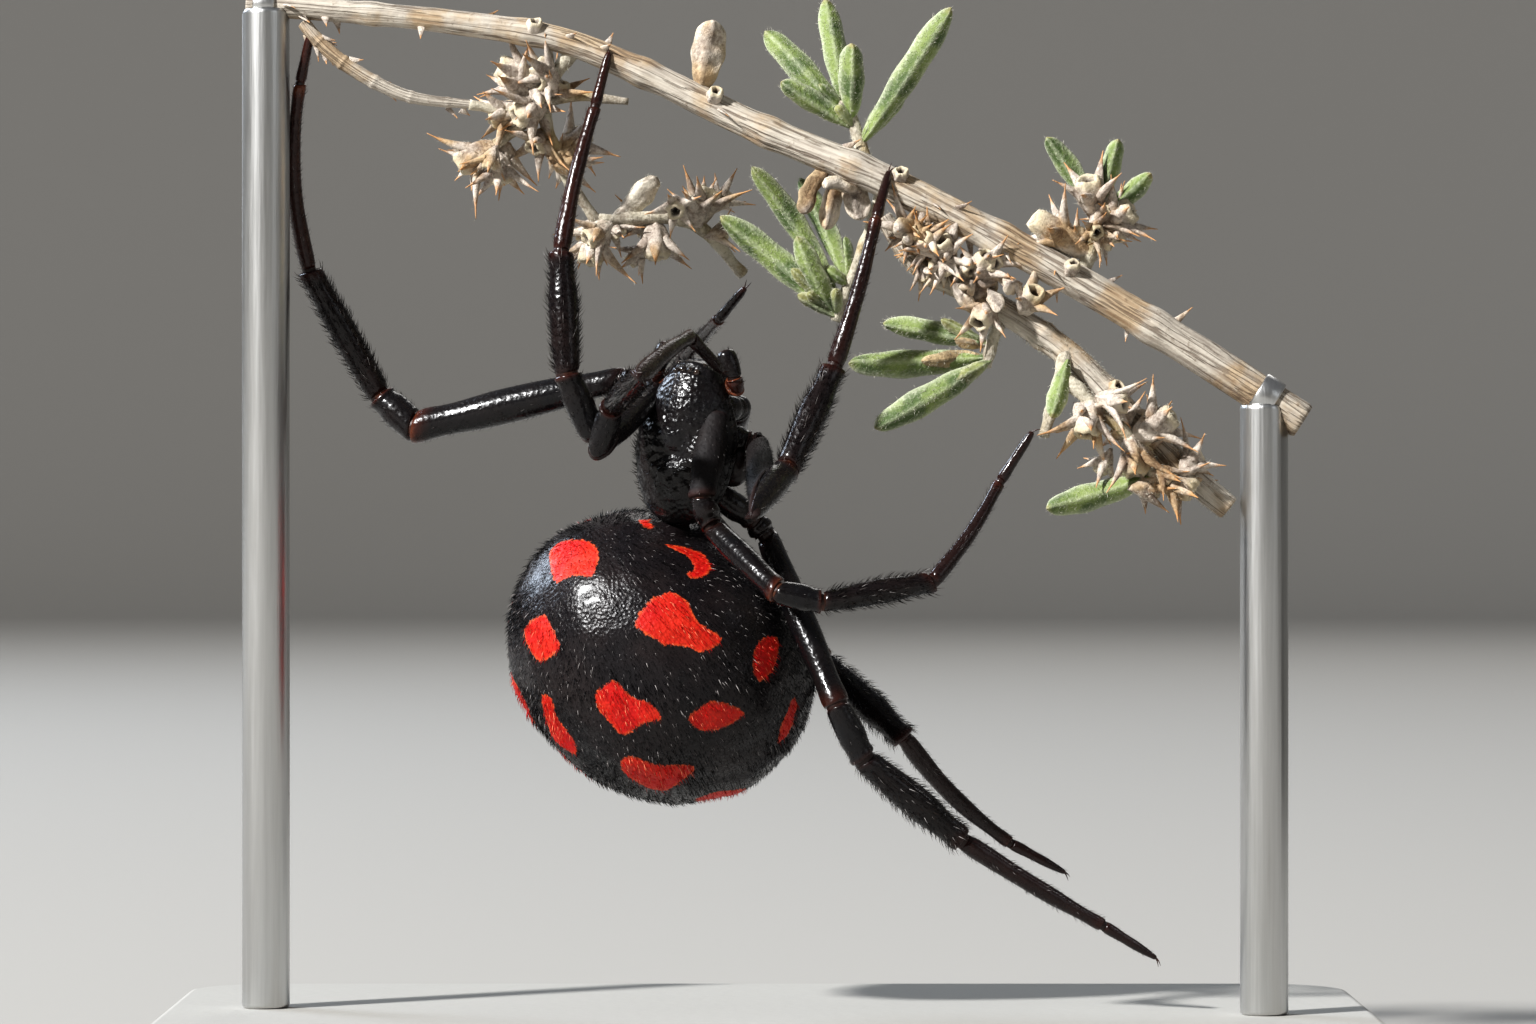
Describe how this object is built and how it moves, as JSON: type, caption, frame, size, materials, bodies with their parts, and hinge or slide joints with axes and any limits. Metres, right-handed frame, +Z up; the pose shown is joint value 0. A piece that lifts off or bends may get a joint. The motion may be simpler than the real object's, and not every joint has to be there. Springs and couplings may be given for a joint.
{
  "type": "black widow spider model",
  "caption": "Still life-size model of a female black widow spider with red spots, hanging from a cut dry twig on a plain display stand.",
  "frame": {"origin": "middle of the underside of the stand base, which lies flat on the table", "axes": "+Z up; -Y is the side that the spider turns its back to, the side of the picture; +X is to its right, the side of its free hind legs"},
  "size_m": [0.038, 0.024, 0.0344],
  "materials": {
    "shell": "glossy black body shell with short bristles and reddish-brown joint skin",
    "abdomen_skin": "satin black skin with red-orange spots and short pale and dark setae",
    "leg_end": "glossy dark reddish-brown, nearly black",
    "bark": "dry grey-tan bark, fissured and flaking",
    "leaf": "dull grey-green, felted with pale hairs",
    "dry_bract": "dry papery brown, spiny",
    "stand_paint": "satin off-white paint",
    "stand_steel": "satin brushed steel"
  },
  "bodies": {
    "root": {"abdomen": "abdomen_skin", "chelicera_left": "shell", "chelicera_right": "shell", "leg_left_1_coxa": "shell", "leg_left_1_femur": "shell", "leg_left_1_metatarsus": "leg_end", "leg_left_1_patella": "shell", "leg_left_1_tibia": "shell", "leg_left_2_coxa": "shell", "leg_left_2_femur": "shell", "leg_left_2_metatarsus": "leg_end", "leg_left_2_patella": "shell", "leg_left_2_tibia": "shell", "leg_left_3_coxa": "shell", "leg_left_3_femur": "shell", "leg_left_3_metatarsus": "leg_end", "leg_left_3_patella": "shell", "leg_left_3_tibia": "shell", "leg_left_4_coxa": "shell", "leg_left_4_femur": "shell", "leg_left_4_metatarsus": "leg_end", "leg_left_4_patella": "shell", "leg_left_4_tibia": "shell", "leg_right_1_coxa": "shell", "leg_right_1_femur": "shell", "leg_right_1_metatarsus": "leg_end", "leg_right_1_patella": "shell", "leg_right_1_tibia": "shell", "leg_right_2_coxa": "shell", "leg_right_2_femur": "shell", "leg_right_2_metatarsus": "leg_end", "leg_right_2_patella": "shell", "leg_right_2_tibia": "shell", "leg_right_3_coxa": "shell", "leg_right_3_femur": "shell", "leg_right_3_metatarsus": "leg_end", "leg_right_3_patella": "shell", "leg_right_3_tibia": "shell", "leg_right_4_coxa": "shell", "leg_right_4_femur": "shell", "leg_right_4_metatarsus": "leg_end", "leg_right_4_patella": "shell", "leg_right_4_tibia": "shell", "palp_left": "shell", "palp_right": "shell", "pedicel": "shell", "perch_bracts_left": "dry_bract", "perch_bracts_lower": "dry_bract", "perch_bracts_right": "dry_bract", "perch_branch_lower": "bark", "perch_leaves_lower": "leaf", "perch_leaves_middle": "leaf", "perch_leaves_top": "leaf", "perch_stem": "bark", "perch_twig_left": "bark", "prosoma": "shell", "spinnerets": "shell", "stand_base": "stand_paint", "stand_rod_left": "stand_steel", "stand_rod_right": "stand_steel"}
  },
  "joints": []
}
